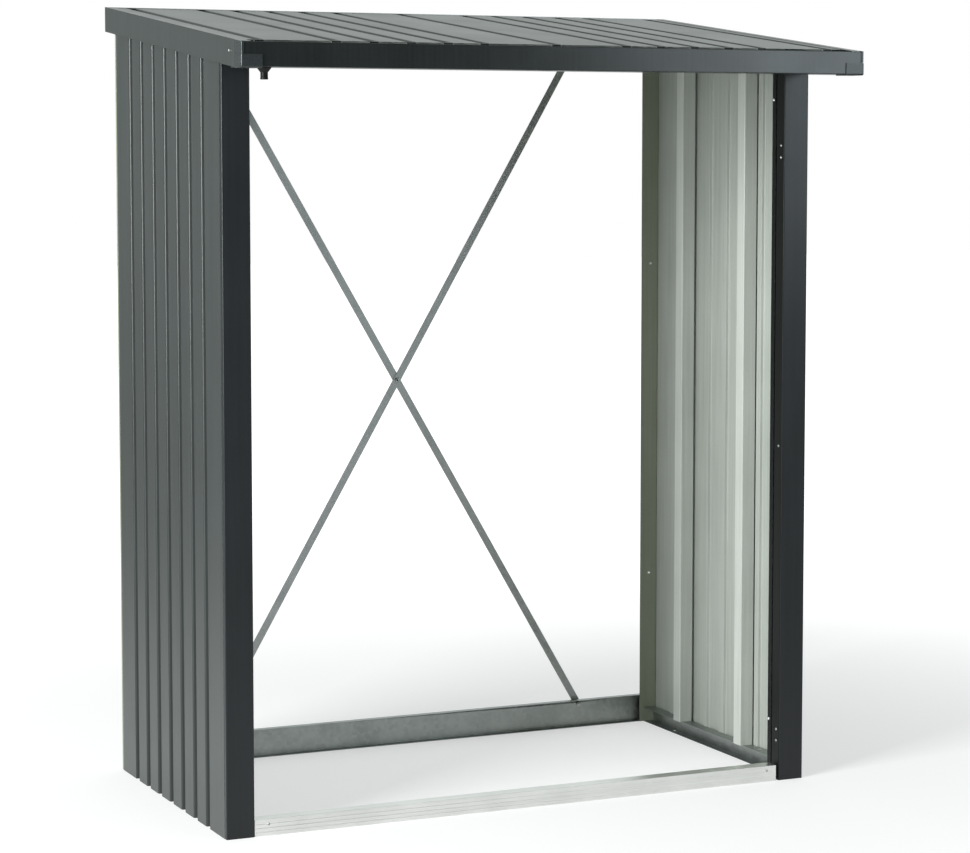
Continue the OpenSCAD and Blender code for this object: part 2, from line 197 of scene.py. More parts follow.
def galvanised_steel(name, dark, light, roughness, spangle_mm):
    """Hot-dip zinc: crystals of a few tones, a cloudy bloom and a slightly uneven skin."""
    material, tree, place = new_material(name)
    bend = add_node(tree, "TexNoise", {"Scale": per_metre(BORDER_WAVE_MM), "Detail": 2.0},
                    {"Vector": place})
    warped = add_node(tree, "VectorMath", {"operation": "MULTIPLY_ADD", 1: [BORDER_BEND] * 3},
                      {0: bend.outputs["Color"], 2: place})
    crystal = add_node(tree, "TexVoronoi", {"Scale": per_metre(spangle_mm)},
                       {"Vector": warped.outputs[0]})
    grey = add_node(tree, "RGBToBW", {}, {0: crystal.outputs["Color"]})
    bloom = add_node(tree, "TexNoise", {"Scale": per_metre(BLOOM_MM), "Detail": 4.0},
                     {"Vector": place})
    level = add_node(tree, "Math", {"operation": "MULTIPLY_ADD", 1: 0.6},
                     {0: grey.outputs[0], 2: bloom.outputs["Fac"]})
    tone = add_node(tree, "MapRange", {"From Min": 0.45, "From Max": 1.05},
                    {"Value": level.outputs[0]})
    zinc = add_node(tree, "Mix", {"data_type": "RGBA", 6: linear(dark), 7: linear(light)},
                    {0: tone.outputs[0]})
    gloss = add_node(tree, "MapRange", {"To Min": roughness - 0.08, "To Max": roughness + 0.1},
                     {"Value": grey.outputs[0]})
    skin = add_node(tree, "Bump", {"Strength": 0.2, "Distance": 0.02 * MM},
                    {"Height": bloom.outputs["Fac"]})
    shader = add_node(tree, "BsdfPrincipled", {"Metallic": 1.0},
                      {"Base Color": zinc.outputs[2], "Roughness": gloss.outputs[0],
                       "Normal": skin.outputs[0]})
    add_node(tree, "OutputMaterial", {}, {"Surface": shader.outputs[0]})
    return material


# Coil zinc on the rails: wide crystals, which read as soft grey patches.
rail_zinc = galvanised_steel("galvanised_rail_steel", "#8b918e", "#a3a8a5", 0.42, 11)
# Strip zinc on the straps: smaller crystals and a duller skin, so a strap is an even grey line.
strap_zinc = galvanised_steel("galvanised_strap_steel", "#989c9b", "#b0b3b2", 0.5, 7)
# Electroplated screws have hardly any crystal, and their round heads catch one bright dot.
screw_zinc = galvanised_steel("bright_zinc_screws", "#979b99", "#b4b8b6", 0.36, 3)
# The screws inside the store have kept their first shine.
fresh_zinc = galvanised_steel("fresh_zinc_screws", "#e2e6e4", "#f6f8f7", 0.34, 3)
# A bolt's socket is nearly black: painted shade in the recess.
socket_steel_painted_shade = galvanised_steel("near_black_socket_steel_painted_shade", "#1c1e1d", "#2b2d2c", 0.5, 2)
# A sheared edge is bare metal: a thin pale line round each painted sheet.
cut_edge = galvanised_steel("cut_sheet_edge", "#8e9492", "#aeb3b1", 0.4, 5)
print("metals:", [m.name for m in (rail_zinc, strap_zinc, screw_zinc, fresh_zinc, socket_steel_painted_shade,
                                 cut_edge)])

# %% [markdown]
# ## Mill-finish aluminium
# The sill is an aluminium section that is pushed hot through a die, which leaves fine straight
# drawing lines along its length. A noise stretched along X draws them in tone, gloss and relief,
# so the sill looks bright and silky, and its reflections are drawn out across the lines.

# %% Aluminium of the sill
DRAWN_LINE_MM, DRAWN_CLOUD_MM = 2.2, 130
DRAWN_STRETCH = 0.006


def drawn_aluminium(name, dark, light):
    """Mill-finish extrusion: drawing lines along X, in tone, gloss and relief."""
    material, tree, place = new_material(name)
    along = add_node(tree, "Mapping", {"Scale": (DRAWN_STRETCH, 1, 1)},
                     {"Vector": place}).outputs[0]
    lines = add_node(tree, "TexNoise", {"Scale": per_metre(DRAWN_LINE_MM), "Detail": 3.0},
                     {"Vector": along})
    cloud = add_node(tree, "TexNoise", {"Scale": per_metre(DRAWN_CLOUD_MM), "Detail": 3.0},
                     {"Vector": place})
    level = add_node(tree, "Math", {"operation": "MULTIPLY_ADD", 1: 0.8},
                     {0: lines.outputs["Fac"], 2: cloud.outputs["Fac"]})
    tone = add_node(tree, "MapRange", {"From Min": 0.6, "From Max": 1.2},
                    {"Value": level.outputs[0]})
    metal = add_node(tree, "Mix", {"data_type": "RGBA", 6: linear(dark), 7: linear(light)},
                     {0: tone.outputs[0]})
    gloss = add_node(tree, "MapRange", {"To Min": 0.26, "To Max": 0.42},
                     {"Value": lines.outputs["Fac"]})
    skin = add_node(tree, "Bump", {"Strength": 0.35, "Distance": 0.04 * MM},
                    {"Height": lines.outputs["Fac"]})
    shader = add_node(tree, "BsdfPrincipled", {"Metallic": 1.0},
                      {"Base Color": metal.outputs[2], "Roughness": gloss.outputs[0],
                       "Normal": skin.outputs[0]})
    add_node(tree, "OutputMaterial", {}, {"Surface": shader.outputs[0]})
    return material


sill_metal = drawn_aluminium("mill_finish_aluminium", "#d6d6d3", "#e9e9e7")
print("aluminium:", sill_metal.name)

# %% [markdown]
# ## Moulded plastic
# The corner caps and the outlet are injection moulded in a weatherproof plastic. The mould is
# spark eroded, which leaves an even grain of about half a millimetre, drawn here at 1 mm. Grain
# scatters the light, so the plastic looks flatter than the paint beside it.

# %% Plastic of the caps and the outlet
FLOW_MM, GRAIN_MM = 30, 1


def moulded_plastic(name, dark, light, roughness, specular):
    """Weatherproof plastic with an eroded grain and slight flow clouds."""
    material, tree, place = new_material(name)
    flow = add_node(tree, "TexNoise", {"Scale": per_metre(FLOW_MM), "Detail": 2.0},
                    {"Vector": place})
    tint = add_node(tree, "Mix", {"data_type": "RGBA", 6: linear(dark), 7: linear(light)},
                    {0: flow.outputs["Fac"]})
    grain = add_node(tree, "TexNoise", {"Scale": per_metre(GRAIN_MM), "Detail": 2.0},
                     {"Vector": place})
    gloss = add_node(tree, "MapRange", {"To Min": roughness - 0.06, "To Max": roughness + 0.08},
                     {"Value": grain.outputs["Fac"]})
    skin = add_node(tree, "Bump", {"Strength": 0.4, "Distance": 0.06 * MM},
                    {"Height": grain.outputs["Fac"]})
    shader = add_node(tree, "BsdfPrincipled", {"Specular IOR Level": specular, "IOR": 1.5},
                      {"Base Color": tint.outputs[2], "Roughness": gloss.outputs[0],
                       "Normal": skin.outputs[0]})
    add_node(tree, "OutputMaterial", {}, {"Surface": shader.outputs[0]})
    return material


# Caps and covers are tinted close to the paint, and look a little paler than the fascia.
cap_plastic = moulded_plastic("anthracite_moulded_caps", "#222728", "#2c3132", 0.26, 0.42)
# The outlet and the closures are plain black, with a dull face that mirrors next to nothing. On the
# closures the black is partly painted shade of the grooves' open ends.
outlet_plastic = moulded_plastic("black_moulded_outlet", "#0f1111", "#161818", 0.42, 0.2)
print("plastics:", cap_plastic.name, outlet_plastic.name)

# %% [markdown]
# ## From sharp solids to bent sheet
# A press brake never makes a sharp corner: the inside of a fold has a radius near the sheet's own
# thickness, and the outside has that radius plus the thickness. A Bevel modifier would round the
# cut edges too and give both sides of a fold the same width. So each solid is copied, its loose
# triangles are merged into whole faces, and the edges between two broad faces are the folds. They
# get a bevel whose width follows from the radius and the fold's angle. Cut edges stay sharp.

# %% Merge a copy of a solid
SOLID_MERGE, FLAT_ANGLE = 0.01 * MM, math.radians(1)


def merged_copy(node):
    """A mesh to edit, from a copy of a solid: its doubles merged and its flat faces joined."""
    bm = bmesh.new()
    bm.from_mesh(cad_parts[node].data)
    bmesh.ops.remove_doubles(bm, verts=bm.verts, dist=SOLID_MERGE)
    bmesh.ops.dissolve_limit(bm, angle_limit=FLAT_ANGLE, verts=bm.verts, edges=bm.edges)
    return bm


def breadth(face):
    """The width of a long face. On a cut edge it is the thickness of the sheet."""
    return 2 * face.calc_area() / face.calc_perimeter()


sample = merged_copy("front_post_right")
print("post: faces", len(sample.faces), "thinnest", round(min(map(breadth, sample.faces)) / MM, 2))
sample.free()

# %% Round the folds
BROAD_FACE = 2  # a face wider than this many sheets isn't a cut edge
FOLD_ANGLE = math.radians(20)


def round_folds(bm, sheet, radius, segments=4, tight=None):
    """Gives the folds their radius inside, and radius + sheet outside. A fold whose place passes
    the test tight gets half a sheet's thickness instead. Returns the number of folds."""
    folds = {}
    for edge in bm.edges:
        broad = all(breadth(f) > BROAD_FACE * sheet for f in edge.link_faces)
        if len(edge.link_faces) == 2 and broad:
            angle = edge.calc_face_angle_signed()
            if abs(angle) > FOLD_ANGLE:
                place = (edge.verts[0].co + edge.verts[1].co) / 2
                inner = sheet / 2 if tight and tight(place) else radius
                reach = (inner + (sheet if angle > 0 else 0)) * math.tan(abs(angle) / 2)
                folds.setdefault(round(reach, 6), []).append(edge)
    for reach, edges in folds.items():
        bent = bmesh.ops.bevel(bm, geom=[e for e in edges if e.is_valid], offset=reach,
                               offset_type="OFFSET", segments=segments, profile=0.5,
                               affect="EDGES", clamp_overlap=True, material=-1)
        for face in bent["faces"]:
            face.smooth = True
    return sum(len(edges) for edges in folds.values())


# %% Finish a piece, and bend a whole sheet
CUT_EDGE = 1.6  # a face narrower than this many sheets is a cut edge
TURNED_AWAY = -0.01


def finished(bm, name, materials, replaces=None):
    """Turns an edited mesh into a piece of the store that rides on it."""
    mesh = bpy.data.meshes.new(name)
    bm.to_mesh(mesh)
    bm.free()
    piece = bpy.data.objects.new(name, mesh)
    bpy.context.scene.collection.objects.link(piece)
    for material in materials:
        mesh.materials.append(material)
    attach(piece, "root")
    if replaces:
        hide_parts(replaces)
    return piece


def bent_sheet(node, sheet, radius, faces, outward=None, tight=None):
    """A solid as a bent sheet. faces are its coats: outside, inside and cut edge. Without a
    direction for outward, the first coat covers both sides."""
    bm = merged_copy(node)
    for face in bm.faces:
        if breadth(face) < CUT_EDGE * sheet:
            face.material_index = 2
        elif outward and face.normal.dot(outward) < TURNED_AWAY:
            face.material_index = 1
    folds = round_folds(bm, sheet, radius, tight=tight)
    piece = finished(bm, "bent_" + node, faces, node)
    print(piece.name, "folds", folds, "faces", len(piece.data.polygons))
    return piece


# %% [markdown]
# ## Posts and rails
# The front posts are anthracite, with a flat, nearly black coat on the slotted side that faces the
# logs, which is painted shade.
# The back posts, rails and stiffeners are seen from inside: the back posts have a darker copy of
# the pale primer, which is painted shade, the stiffeners a lighter copy, which is painted light,
# and the rails are bare zinc. All are brake-bent strip, so one call each gives them their radius.

# %% Posts, rails and stiffeners
FRAME_BEND, STIFFENER_BEND = 1.2 * MM, 1.5 * MM
zinc_all_over = [rail_zinc, rail_zinc, cut_edge]
for side, sign in (("left", -1), ("right", 1)):
    # The slotted side's nearly black coat is painted shade.
    bent_sheet("front_post_" + side, POST_SHEET, FRAME_BEND, [post_coat_painted_shade, lip_coat_painted_shade, cut_edge],
               Vector((sign, 0, 0)))
    # The back posts' darker primer is painted shade.
    bent_sheet("rear_post_" + side, POST_SHEET, FRAME_BEND, [rear_coat_painted_shade, rear_coat_painted_shade, cut_edge])
    for rail in ("side_top_rail_", "side_floor_rail_"):
        bent_sheet(rail + side, RAIL_SHEET, FRAME_BEND, zinc_all_over)
    for place in ("front", "rear"):
        # The stiffeners' lighter primer is painted light.
        bent_sheet(f"stiffener_{side}_{place}", RAIL_SHEET, STIFFENER_BEND,
                   [stiffener_coat_painted_light, stiffener_coat_painted_light, cut_edge])
for rail in ("front_top_rail", "rear_top_rail", "rear_floor_rail"):
    bent_sheet(rail, RAIL_SHEET, FRAME_BEND, zinc_all_over)

# %% [markdown]
# ## Walls and roof
# One coil makes both: the coloured face is outside, and the primer shows inside. The rolls give the
# walls' grooves soft shoulders, which catch a thin line of light, and a tight fold at the bottom.

# %% Grooved sheets
WALL_SHOULDER, ROOF_BEND = 3.4 * MM, 1.4 * MM
GROOVE_FLOOR_IN = 4 * MM


def in_groove_floor(place):
    """Whether a fold is at the bottom of a wall's groove, and not at its shoulder."""
    return abs(place.x) < wall_x - GROOVE_FLOOR_IN


for side, sign in (("left", -1), ("right", 1)):
    # The walls' lighter paint is painted light, and the roof's is a painted reflection.
    bent_sheet("side_wall_" + side, SHEET, WALL_SHOULDER, [wall_coat_painted_light, back_coat, cut_edge],
               Vector((sign, 0, 0)), in_groove_floor)
    bent_sheet("roof_sheet_" + side, SHEET, ROOF_BEND, [roof_coat_painted_light, back_coat, cut_edge],
               Vector((0, 0, 1)))

# %% [markdown]
# ## Trims and gutter
# These are folded on the brake from coated sheet. The verge trims have the walls' lighter copy of
# the paint, which is painted light, and the gutter and back fascia a darker copy, which is painted
# shade. Their folds are tight, which gives the fascia its crisp lower edge.

# %% Trims and gutter
TRIM_BEND = 0.8 * MM
# The verge trims' lighter paint is painted light, and the gutter's and fascia's darker paint is
# painted shade.
for node, coat in (("verge_trim_left", wall_coat_painted_light), ("verge_trim_right", wall_coat_painted_light),
                   ("rear_fascia", trim_coat_painted_shade), ("gutter", trim_coat_painted_shade)):
    bent_sheet(node, TRIM_SHEET, TRIM_BEND, [coat, coat, cut_edge])

# %% [markdown]
# ## Solid sections
# The sill is an extrusion and the straps are punched strip, so they have small even radii on their
# outer corners. Here every convex corner gets the same narrow bevel, as neither has folds.

# %% Sill and straps
CORNER_ANGLE = math.radians(30)
SILL_EASE, STRAP_EASE = 0.35 * MM, 0.25 * MM


def eased_corners(node, width, material):
    """A solid whose outer corners are eased by a narrow bevel."""
    bm = merged_copy(node)
    corners = [e for e in bm.edges if len(e.link_faces) == 2
               and e.calc_face_angle_signed() > CORNER_ANGLE]
    bmesh.ops.bevel(bm, geom=corners, offset=width, offset_type="OFFSET", segments=2,
                    profile=0.5, affect="EDGES", clamp_overlap=True, material=-1)
    piece = finished(bm, "eased_" + node, [material], node)
    print(piece.name, "corners", len(corners), "faces", len(piece.data.polygons))
    return piece


eased_corners("front_sill", SILL_EASE, sill_metal)
eased_corners("brace_strap_falling", STRAP_EASE, strap_zinc)
eased_corners("brace_strap_rising", STRAP_EASE, strap_zinc)

# %% [markdown]
# ## Turned and moulded round pieces
# A screw head, a washer and the outlet are all round, so each is drawn as half a section and spun
# about its axis, which follows the real profile more closely than a scaled cylinder could. The
# spin is a full turn that merges its ends, and the normals are then made to point outwards.

# %% Spin a section
MERGE_GAP = 0.002 * MM


def turned(bm, section, steps=28):
    """Adds the solid that a closed half section of (radius, height) points sweeps about Z."""
    ring = [bm.verts.new((r, 0, z)) for r, z in section]
    edges = [bm.edges.new((ring[i - 1], ring[i])) for i in range(len(ring))]
    before = set(bm.verts) - set(ring)
    bmesh.ops.spin(bm, geom=ring + edges, cent=(0, 0, 0), axis=(0, 0, 1), angle=2 * math.pi,
                   steps=steps, use_merge=True)
    made = [v for v in bm.verts if v not in before]
    bmesh.ops.remove_doubles(bm, verts=made, dist=MERGE_GAP)
    made = [v for v in bm.verts if v not in before]
    bmesh.ops.recalc_face_normals(bm, faces=list({f for v in made for f in v.link_faces}))
    return made


def facing(point, direction):
    """The place whose Z axis points along direction at that point."""
    turn = Vector(direction).to_track_quat("Z", "Y").to_matrix().to_4x4()
    return Matrix.Translation(point) @ turn


def smooth_rounds(piece, angle=35):
    """Smooth shading on the rounds, with edges sharper than angle kept crisp."""
    piece.data.shade_smooth()
    piece.data.set_sharp_from_angle(angle=math.radians(angle))


print("facing check", [round(v, 2) for v in facing((0, 0, 0), (0, -1, 0)) @ Vector((0, 0, 1))])

# %% [markdown]
# ## The gutter's outlet
# A moulded outlet sits in a hole in the gutter's floor, with a flange above it and one below. A
# cone narrows to the spigot, which ends in a bead that holds a hose. It is one round part, so its
# whole outline, bore and all, is spun at once.

# %% Outlet
outlet_low, outlet_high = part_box("gutter_outlet")
outlet_x, outlet_y = (outlet_low.x + outlet_high.x) / 2, (outlet_low.y + outlet_high.y) / 2
flange_r = (outlet_high.x - outlet_low.x) / 2
NECK_R, SPIGOT_R, BORE_R = 12 * MM, 9 * MM, 7 * MM
OUTLET_CORNER, OUTLET_STEP = 0.8 * MM, 1.2 * MM
CONE_H, CONE_FLARE, WAIST = 10 * MM, 0.6 * MM, 0.5 * MM
BEAD_TOP, BEAD_LOW, BEAD_SLOPE = 3 * MM, 1 * MM, 1 * MM
floor_z = gutter_low.z
top_z, cone_z, end_z = outlet_high.z, floor_z - CONE_H, outlet_low.z
above_floor, waist_r = floor_z + TRIM_SHEET, SPIGOT_R - WAIST
outlet = bmesh.new()
turned(outlet, [
    (BORE_R, top_z), (flange_r - OUTLET_CORNER, top_z), (flange_r, top_z - OUTLET_CORNER),
    (flange_r, above_floor), (NECK_R, above_floor), (NECK_R, floor_z),
    (flange_r, floor_z), (flange_r, floor_z - OUTLET_STEP), (SPIGOT_R + CONE_FLARE, cone_z),
    (waist_r, cone_z - OUTLET_STEP), (waist_r, end_z + BEAD_TOP + BEAD_SLOPE),
    (SPIGOT_R, end_z + BEAD_TOP), (SPIGOT_R, end_z + BEAD_LOW), (SPIGOT_R - OUTLET_CORNER, end_z),
    (BORE_R, end_z)], steps=40)
bmesh.ops.translate(outlet, verts=outlet.verts, vec=(outlet_x, outlet_y, 0))
smooth_rounds(finished(outlet, "moulded_gutter_outlet", [outlet_plastic],
                       "gutter_outlet"))
print("outlet at", round(outlet_x, 4), round(outlet_y, 4), "end", round(end_z, 4))

# %% [markdown]
# ## Screws
# Self-drilling screws with a low round head hold the lips of the front posts, the back posts, the
# ends of the verge trims and the sill. The head has a socket for the driver, so it is spun with a
# dished top. Each one is a bright dot on the dark paint.

# %% A round-headed screw
HEAD_R, HEAD_H, SOCKET_R = 3.8 * MM, 2.4 * MM, 1.7 * MM


def screw_heads(name, places, material=screw_zinc, scale=1.0):
    """One piece with a round screw head at each (point, direction)."""
    r, h, socket_r = HEAD_R * scale, HEAD_H * scale, SOCKET_R * scale
    section = [(0, h * 0.35), (socket_r, h * 0.35), (socket_r, h), (r * 0.62, h),
               (r * 0.86, h * 0.72), (r, h * 0.25), (r, 0), (0, 0)]
    bm = bmesh.new()
    for point, direction in places:
        head = turned(bm, section, steps=20)
        bmesh.ops.transform(bm, matrix=facing(point, direction), verts=head)
    piece = finished(bm, name, [material])
    smooth_rounds(piece)
    print(name, len(places), "screws", len(piece.data.polygons), "faces")
    return piece


# %% Where the screws are
# The insets are from the front post's front and back edges and from the rear post's inner edge.
LIP_INSET, BACK_INSET, REAR_INSET = 14 * MM, 8 * MM, 27.5 * MM
# The verge screws are behind and below the gutter's top edge, and the sill's below its own.
VERGE_BEHIND, VERGE_DOWN = 6 * MM, 18 * MM
SILL_INSET, SILL_DOWN, SILL_SCALE = 35 * MM, 12 * MM, 0.8
# Heights are in metres above the ground.
lip_heights = (1.611, 1.581, 0.855, 0.130, 0.101)
back_heights = (1.725, 0.150)
rear_heights = (1.286, 0.420)


def both_sides(x, y, heights, direction):
    """Places on the left and then the right. A head faces out, in or to the front."""
    ways = {"out": (1, 0, 0), "in": (-1, 0, 0), "front": (0, -1, 0)}
    dx, dy, dz = ways[direction]
    return [(Vector((sign * x, y, z)), (sign * dx, dy, dz)) for sign in (-1, 1) for z in heights]


screw_heads("post_lip_screws", both_sides(post_low.x, front_y + LIP_INSET, lip_heights, "in"))
screw_heads("post_back_screws",
            both_sides(post_low.x, post_high.y - BACK_INSET, back_heights, "in"), fresh_zinc)
screw_heads("rear_post_screws",
            both_sides(rear_low.x + REAR_INSET, rear_low.y, rear_heights, "front"), fresh_zinc)
screw_heads("verge_screws",
            both_sides(roof_x, gutter_high.y + VERGE_BEHIND, [gutter_high.z - VERGE_DOWN], "out"))
screw_heads("sill_screws",
            both_sides(post_low.x - SILL_INSET, sill_low.y, [sill_high.z - SILL_DOWN], "front"),
            scale=SILL_SCALE)

# %% [markdown]
# ## The brace's bolts
# Each strap end is bolted to a back rail, with a washer under the head, and the outer strap stands
# on a spacer as thick as the inner strap. Where the straps cross, one button-headed bolt with a
# hexagon socket ties them, and its nut is at the back. A nut is a six-sided cone of equal radii
# with eased edges, and all that is round is turned.

# %% Hexagon nuts and the threaded ends in them
BOLT_R, HOLE_R, NUT_EASE = 3 * MM, 3.3 * MM, 0.5 * MM
NUT_ACROSS, NUT_H, HEX_HEAD_H = 10 * MM, 5 * MM, 4.2 * MM


def hexagon(bm, height):
    """A nut or a bolt's head with eased corners, standing on Z = 0."""
    corner_r = NUT_ACROSS / math.sqrt(3)
    made = bmesh.ops.create_cone(bm, cap_ends=True, segments=6, radius1=corner_r,
                                 radius2=corner_r, depth=height)["verts"]
    bmesh.ops.translate(bm, verts=made, vec=(0, 0, height / 2))
    rims = list({e for v in made for e in v.link_edges})
    eased = bmesh.ops.bevel(bm, geom=rims, offset=NUT_EASE, offset_type="OFFSET", segments=2,
                            profile=0.5, affect="EDGES", material=-1)
    return list({*eased["verts"], *(v for v in made if v.is_valid)})


def nut_and_thread(bm, point, direction, thread):
    """A nut at a point, and the end of the bolt that stands out of it."""
    nut = hexagon(bm, NUT_H)
    shank = turned(bm, [(0, 0), (BOLT_R, 0), (BOLT_R, thread), (0, thread)], steps=16)
    bmesh.ops.transform(bm, matrix=facing(point, direction), verts=nut + shank)


def flat_ring(bm, outer_r, height):
    """A washer or a spacer with a clear hole for the bolt."""
    return turned(bm, [(HOLE_R, 0), (outer_r, 0), (outer_r, height), (HOLE_R, height)])


print("nut", round(NUT_ACROSS / MM), "mm across flats")

# %% Bolts at the straps' ends
STRAP_HALF, WASHER_R, WASHER_T, SPACER_R = 10 * MM, 6.5 * MM, 1.2 * MM, 9 * MM
END_THREAD = 8 * MM
fall_low, fall_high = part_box("brace_strap_falling")
rise_low, rise_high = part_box("brace_strap_rising")
low_z, high_z = rise_low.z + STRAP_HALF, rise_high.z - STRAP_HALF
rise_start, rise_end = rise_low.x + STRAP_HALF, rise_high.x - STRAP_HALF
fall_start, fall_end = fall_high.x - STRAP_HALF, fall_low.x + STRAP_HALF
rail_front = rise_low.y - RAIL_SHEET
brace = bmesh.new()
for x, outer, z in ((rise_start, rise_high.y, low_z), (rise_end, rise_high.y, high_z),
                    (fall_start, fall_high.y, low_z), (fall_end, fall_high.y, high_z)):
    washer = flat_ring(brace, WASHER_R, WASHER_T)
    head = hexagon(brace, HEX_HEAD_H)
    bmesh.ops.translate(brace, verts=head, vec=(0, 0, WASHER_T))
    bmesh.ops.transform(brace, matrix=facing((x, outer, z), (0, 1, 0)), verts=washer + head)
    nut_and_thread(brace, (x, rail_front, z), (0, -1, 0), END_THREAD)
    if outer == fall_high.y:
        spacer = flat_ring(brace, SPACER_R, rise_high.y - rise_low.y)
        bmesh.ops.transform(brace, matrix=facing((x, rise_low.y, z), (0, 1, 0)), verts=spacer)
print("bolts from z", round(low_z, 3), "to", round(high_z, 3))

# %% The bolt where the straps cross
BUTTON_R, BUTTON_H, BUTTON_RIM = 6.6 * MM, 3 * MM, 0.8 * MM
KEY_R, KEY_FLOOR, MIDDLE_THREAD = 2.5 * MM, 0.5 * MM, 7 * MM
share = (fall_start - rise_start) / (fall_start - rise_start + rise_end - fall_end)
middle = Vector((rise_start + (rise_end - rise_start) * share, rise_low.y,
                 low_z + (high_z - low_z) * share))
dome = [(4 * MM, BUTTON_H), (5.6 * MM, 2.2 * MM), (BUTTON_R, BUTTON_RIM)]
button = turned(brace, [(0, KEY_FLOOR), (KEY_R, KEY_FLOOR), (KEY_R, BUTTON_H), *dome,
                        (BUTTON_R, 0), (0, 0)])
# The socket's wall and floor get the nearly black steel, which is painted shade.
for face in {f for v in button for f in v.link_faces}:
    centre = face.calc_center_median()
    if math.hypot(centre.x, centre.y) < KEY_R + SOLID_MERGE and centre.z > KEY_FLOOR / 5:
        face.material_index = 1  # the socket's wall and floor
bmesh.ops.transform(brace, matrix=facing(middle, (0, -1, 0)), verts=button)
middle.y = fall_high.y
nut_and_thread(brace, middle, (0, 1, 0), MIDDLE_THREAD)
smooth_rounds(finished(brace, "brace_bolts", [screw_zinc, socket_steel_painted_shade]))
print("straps cross at x", round(middle.x, 3), "z", round(middle.z, 3), "of", round(high_z, 3))

# %% [markdown]
# ## Closures under the roof's front edge
# Each groove of the roof ends openly above the gutter, and a black moulded closure fills it there,
# up to the sheet's level. Its black is partly painted shade of the groove's open end. From the
# front the closures show as a row of short black notches. Each is a cube, sized to its groove's
# floor, turned to the roof's slope and eased.

# %% Where the grooves are
# A groove's floor is 14 to 24 mm wide and more than 6 mm below the sheet's face.
GROOVE_LEAST, GROOVE_MOST, GROOVE_DEEP = 14 * MM, 24 * MM, 6 * MM
END_ZONE = 4 * MM


def groove_ends(node):
    """The front edge and level of a roof sheet, and the two sides of each groove's floor."""
    sheet = merged_copy(node)
    front = min(v.co.y for v in sheet.verts)
    ends = [v.co for v in sheet.verts if v.co.y < front + END_ZONE]
    level = max(co.z for co in ends)
    deep = sorted({round(co.x, 4) for co in ends if co.z < level - GROOVE_DEEP})
    sheet.free()
    return front, level, [(x0, x1) for x0, x1 in zip(deep, deep[1:])
                          if GROOVE_LEAST < x1 - x0 < GROOVE_MOST]


print("grooves of the left sheet", len(groove_ends("roof_sheet_left")[2]))

# %% Groove closures
CLOSURE_DEPTH, CLOSURE_H, CLOSURE_EASE = 12 * MM, 7.4 * MM, 0.5 * MM
CLOSURE_PLAY, CLOSURE_BACK, CLOSURE_DOWN = 1 * MM, 1 * MM, 0.4 * MM
SEAM_LAP = 20 * MM  # the sheets share the groove at their seam, which gets one closure
roof_tilt = Matrix.Rotation(math.atan(roof_slope), 3, "X")
closures = bmesh.new()
filled = []
for side in ("left", "right"):
    front, level, floors = groove_ends("roof_sheet_" + side)
    for x0, x1 in floors:
        centre = (x0 + x1) / 2
        if all(abs(centre - x) > SEAM_LAP for x in filled):
            made = bmesh.ops.create_cube(closures, size=1)["verts"]
            bmesh.ops.scale(closures, verts=made,
                            vec=(x1 - x0 - CLOSURE_PLAY, CLOSURE_DEPTH, CLOSURE_H))
            bmesh.ops.translate(closures, verts=made,
                                vec=(0, CLOSURE_DEPTH / 2, -CLOSURE_H / 2 - CLOSURE_DOWN))
            bmesh.ops.rotate(closures, verts=made, matrix=roof_tilt)
            bmesh.ops.translate(closures, verts=made, vec=(centre, front + CLOSURE_BACK, level))
            filled.append(centre)
bmesh.ops.bevel(closures, geom=closures.edges, offset=CLOSURE_EASE, offset_type="OFFSET",
                segments=2, profile=0.5, affect="EDGES", material=-1)
# The closures' black is partly painted shade.
finished(closures, "roof_groove_closures_painted_shade", [outlet_plastic])
print("closures", len(filled))

# %% [markdown]
# ## Mouldings at the gutter's corners
# A cap closes each lower corner of the gutter, and a thin cover wraps the corner above it. A mould
# needs generous radii: the caps' corners have 4 mm outside, where a fold of the gutter has less
# than 2 mm. The cover is its plan, extruded up to the roof's slope, and its rounded front corner
# shows as a pale upright line.

# %% Gutter caps
CAP_WALL, CAP_INNER_R = 2.5 * MM, 1.5 * MM
for side in ("left", "right"):
    cap = merged_copy("gutter_cap_" + side)
    folds = round_folds(cap, CAP_WALL, CAP_INNER_R, 5)
    piece = finished(cap, "moulded_gutter_cap_" + side, [cap_plastic],
                     "gutter_cap_" + side)
    print(piece.name, "folds", folds, "faces", len(piece.data.polygons))

# %% Corner covers
COVER_T, COVER_LIP, COVER_GAP = 1.6 * MM, 5 * MM, 1.5 * MM
COVER_R, TALL_EDGE, NEAR = 2.6 * MM, 10 * MM, 0.01 * MM
cap_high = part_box("gutter_cap_right")[1]
cover_x, cover_front = roof_x + COVER_T, gutter_low.y - COVER_T
cover_depth = cap_high.y - gutter_low.y
plan = [(cover_x, cover_depth), (cover_x, -COVER_T), (roof_x - COVER_LIP, -COVER_T),
        (roof_x - COVER_LIP, 0), (roof_x, 0), (roof_x, cover_depth)]


def on_front_corner(vert):
    """Whether a vertex is on the cover's outer front corner."""
    return abs(vert.co.y - cover_front) < NEAR and abs(abs(vert.co.x) - cover_x) < NEAR


